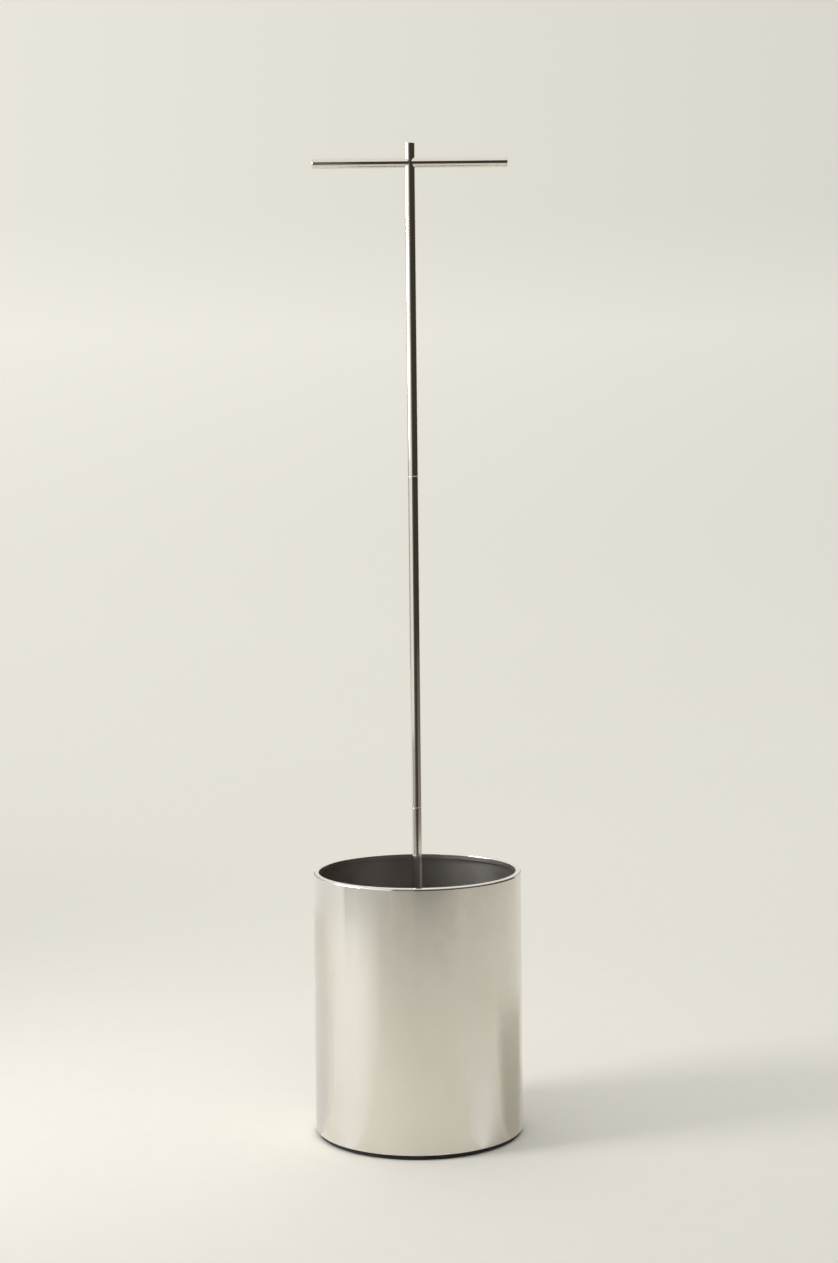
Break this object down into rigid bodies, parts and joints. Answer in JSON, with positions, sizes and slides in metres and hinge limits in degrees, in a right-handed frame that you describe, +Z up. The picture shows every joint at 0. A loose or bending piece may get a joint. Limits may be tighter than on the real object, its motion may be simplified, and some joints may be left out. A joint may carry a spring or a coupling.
{
  "type": "umbrella stand",
  "caption": "Round mirror-polished steel umbrella bin with a folded rim on a weighted base, and a tall central pole with a crossbar for coats and scarves.",
  "frame": {"origin": "the point on the floor under the pole's axis, which is also the bin's axis", "axes": "+Z up along the pole, X along the crossbar with +X to the viewer's right, -Y towards the viewer"},
  "size_m": [0.35, 0.35, 1.662],
  "materials": {
    "polished_sheet": "mirror-polished stainless sheet outside, satin mill finish inside",
    "polished_tube": "mirror-polished steel tube",
    "black_coating": "fine-textured black powder coating",
    "cast_iron": "rough casting with a turned edge",
    "black_plastic": "moulded, slightly grained",
    "black_rubber": "matt",
    "zinc_steel": "zinc-plated",
    "brass": "turned"
  },
  "bodies": {
    "root": {"bin_shell": "polished_sheet", "floor_pan": "black_coating", "ballast_disc": "cast_iron", "base_plate": "black_plastic", "base_screws": "zinc_steel", "foot_front_left": "black_rubber", "foot_front_right": "black_rubber", "foot_back_right": "black_rubber", "foot_back_left": "black_rubber", "pole_bolt": "zinc_steel", "bolt_washer": "zinc_steel", "pole_gasket": "black_rubber", "pole_foot": "polished_tube", "lower_tube": "polished_tube", "lower_joint_socket": "brass", "middle_joint_stud": "zinc_steel", "middle_tube": "polished_tube", "middle_joint_socket": "brass", "upper_joint_stud": "zinc_steel", "upper_tube": "polished_tube", "top_cap": "polished_tube", "crossbar_left": "polished_tube", "crossbar_right": "polished_tube", "crossbar_cap_left": "polished_tube", "crossbar_cap_right": "polished_tube"}
  },
  "joints": []
}
